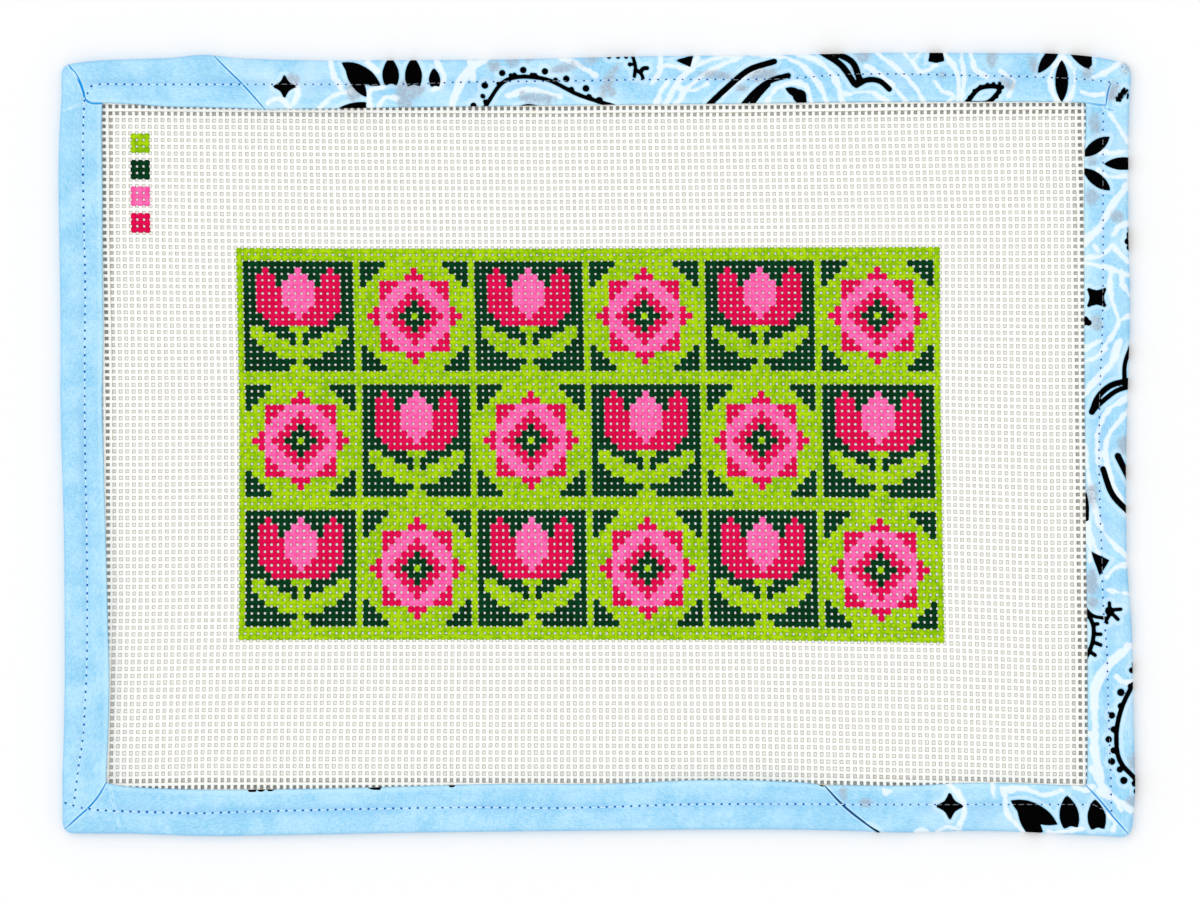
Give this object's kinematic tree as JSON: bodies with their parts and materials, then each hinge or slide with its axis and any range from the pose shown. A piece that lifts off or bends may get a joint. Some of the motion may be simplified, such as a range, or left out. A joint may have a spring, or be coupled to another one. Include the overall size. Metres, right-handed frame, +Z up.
{
  "type": "needlepoint canvas panel",
  "caption": "Flat rectangular panel of stiff open canvas with a hand-painted stitching design, bound all round with a folded, topstitched cotton strip mitred at the corners.",
  "frame": {"origin": "on the surface the panel lies on, under the centre of its bounding box", "axes": "+X to the right along the long side, +Y up the short side as the design is read, +Z up out of the painted face"},
  "size_m": [0.3224, 0.2348, 0.0044],
  "materials": {
    "canvas": "stiff white open-mesh cotton canvas, sized, with matt paint on the threads of the design",
    "binding_plain": "plain pale blue woven cotton, matt",
    "binding_print": "pale blue woven cotton printed in black, white and grey, matt"
  },
  "bodies": {
    "root": {"canvas": "canvas", "binding_plain": "binding_plain", "binding_print": "binding_print"}
  },
  "joints": []
}
